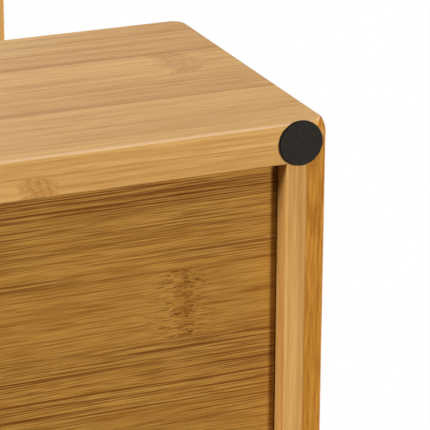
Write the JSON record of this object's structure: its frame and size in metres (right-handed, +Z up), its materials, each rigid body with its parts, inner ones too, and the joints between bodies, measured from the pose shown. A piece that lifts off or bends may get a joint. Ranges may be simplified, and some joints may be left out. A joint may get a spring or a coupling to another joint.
{
  "type": "three-tier shelf",
  "caption": "Standing bamboo shelf: boards set in mitred back and side walls, open at the front, stacked on side uprights, with round anti-slip pads underneath.",
  "frame": {"origin": "centre of the box round the whole shelf, at the level of the surface that the pads stand on", "axes": "+Z up, +X along the width to the right as seen from the front, +Y from the open front to the back"},
  "size_m": [0.401, 0.2504, 0.6675],
  "materials": {
    "wall_bamboo": "satin",
    "board_bamboo": "satin",
    "dowel_beech": "satin",
    "pad_foam": "matte"
  },
  "bodies": {
    "root": {"lower_shelf_board": "board_bamboo", "middle_shelf_board": "board_bamboo", "upper_shelf_board": "board_bamboo", "lower_back_wall": "wall_bamboo", "lower_left_wall": "wall_bamboo", "lower_right_wall": "wall_bamboo", "middle_back_wall": "wall_bamboo", "middle_left_wall": "wall_bamboo", "middle_right_wall": "wall_bamboo", "upper_back_wall": "wall_bamboo", "upper_left_wall": "wall_bamboo", "upper_right_wall": "wall_bamboo", "lower_left_upright": "wall_bamboo", "lower_right_upright": "wall_bamboo", "upper_left_upright": "wall_bamboo", "upper_right_upright": "wall_bamboo", "rear_left_pad": "pad_foam", "rear_right_pad": "pad_foam", "front_left_pad": "pad_foam", "front_right_pad": "pad_foam", "lower_board_dowels": "dowel_beech", "middle_board_dowels": "dowel_beech", "upper_board_dowels": "dowel_beech", "lower_upright_dowels": "dowel_beech", "upper_upright_dowels": "dowel_beech", "lower_mitre_splines": "dowel_beech", "middle_mitre_splines": "dowel_beech", "upper_mitre_splines": "dowel_beech"}
  },
  "joints": []
}
